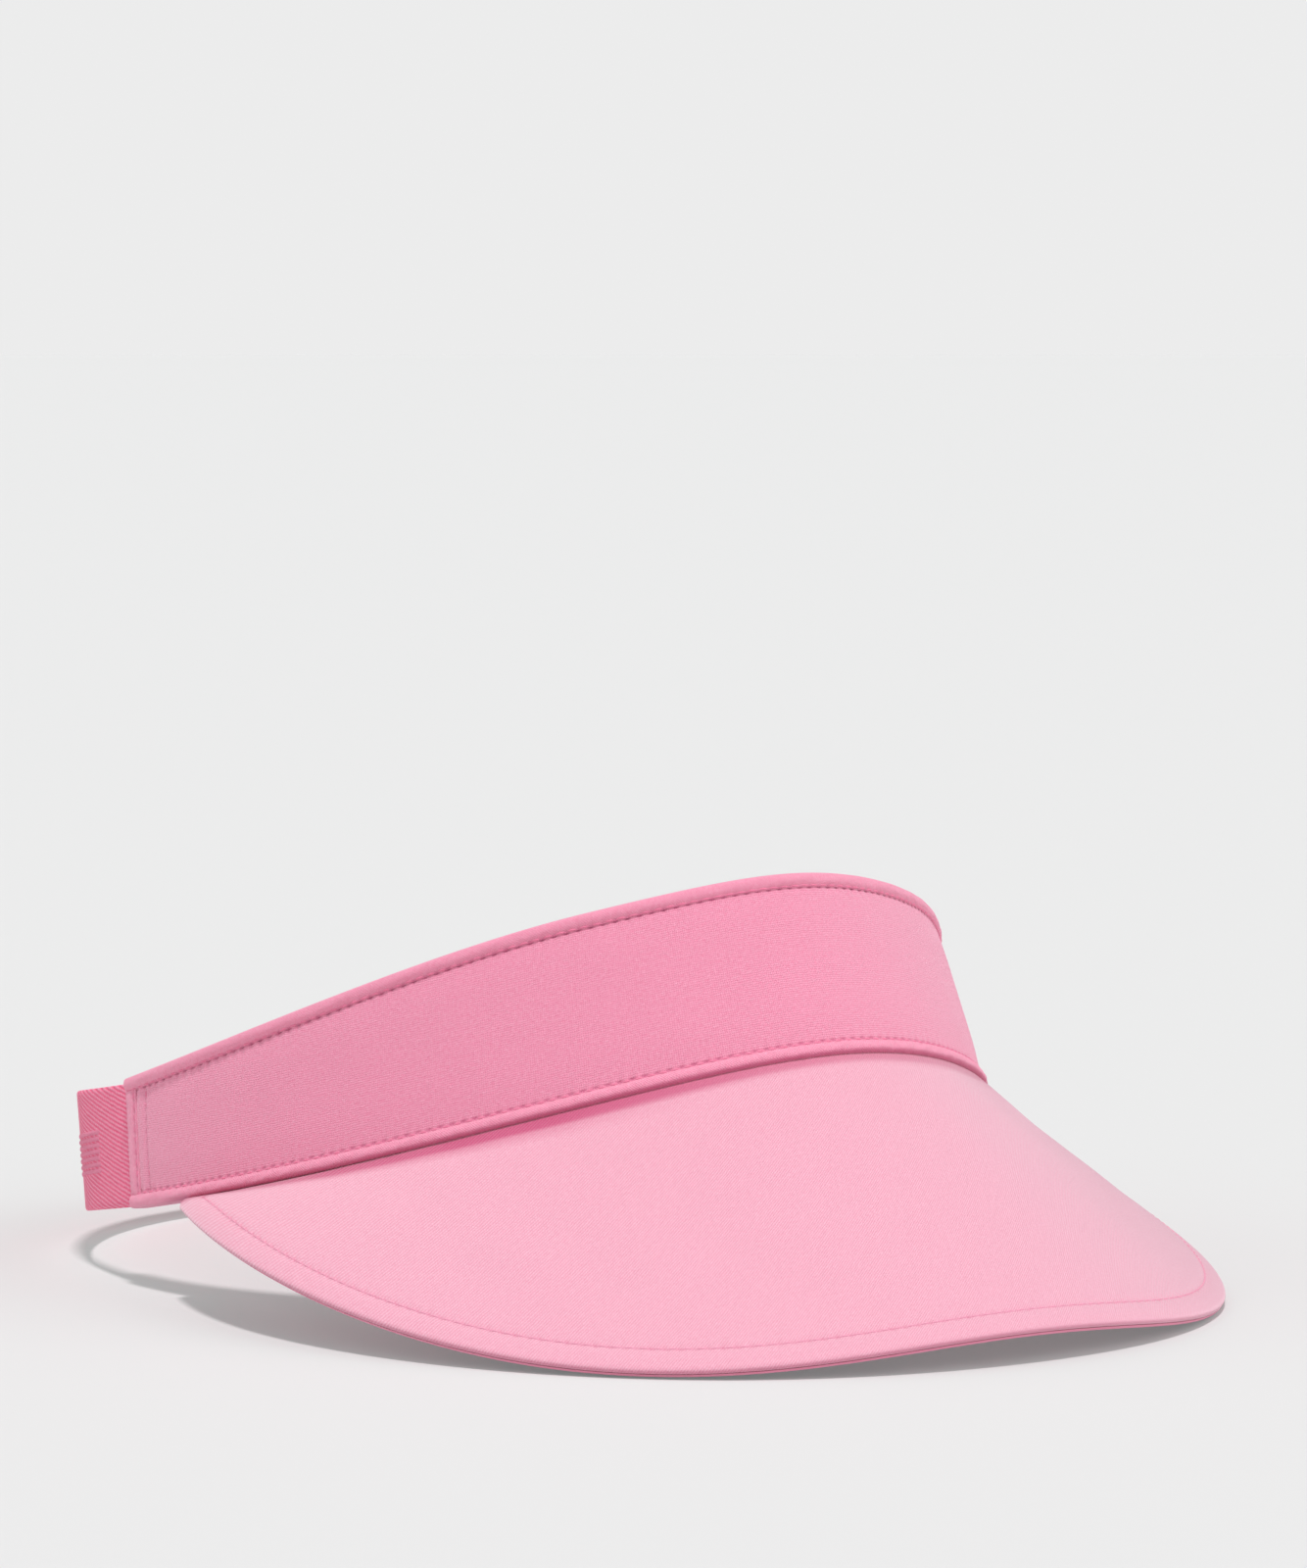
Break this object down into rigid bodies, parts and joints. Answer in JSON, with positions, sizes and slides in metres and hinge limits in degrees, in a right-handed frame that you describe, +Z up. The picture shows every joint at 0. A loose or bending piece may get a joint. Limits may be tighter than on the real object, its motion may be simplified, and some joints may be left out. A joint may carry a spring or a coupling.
{
  "type": "sun visor",
  "caption": "Open-crown sun visor: tapered fabric band with bound edges, stiffened curved brim and a stretchy elastic strap behind.",
  "frame": {"origin": "on the surface the visor lies on, below the middle of its whole length and width", "axes": "+Z up, -Y out through the front of the brim, +X towards the wearer's left; the visor is symmetric left to right apart from the woven block and the care label"},
  "size_m": [0.1918, 0.2484, 0.0811],
  "materials": {
    "band_fabric": "matt plain weave",
    "binding_fabric": "matt plain weave, cut on the bias",
    "brim_fabric": "matt fine twill",
    "under_fabric": "matt fine twill",
    "elastic": "ribbed elastic webbing",
    "lining": "soft brushed knit",
    "stiffening": "stiff open weave",
    "brim_plastic": "moulded sheet",
    "thread": "twisted thread",
    "label": "woven satin"
  },
  "bodies": {
    "crown": {"band_face": "band_fabric", "band_stiffener": "stiffening", "sweatband": "lining", "top_binding": "binding_fabric", "bottom_binding": "binding_fabric", "end_hem_right": "binding_fabric", "end_hem_left": "binding_fabric", "brim_board": "brim_plastic", "brim_top_cover": "brim_fabric", "brim_under_cover": "under_fabric", "strap_side_right": "elastic", "strap_side_left": "elastic", "strap_block": "elastic", "care_label": "label", "top_stitching": "thread", "bottom_stitching": "thread", "brim_stitching": "thread", "end_stitching_right": "thread", "end_stitching_left": "thread"},
    "strap_rear": {"strap_back": "elastic"}
  },
  "joints": [
    {"name": "strap_stretch", "type": "slide", "parent": "crown", "child": "strap_rear", "axis": [0, 0.9816, -0.1908], "range_m": [0, 0.025], "stiffness_N_per_m": 250, "deforming": ["strap_side_right", "strap_side_left", "strap_block"]}
  ]
}
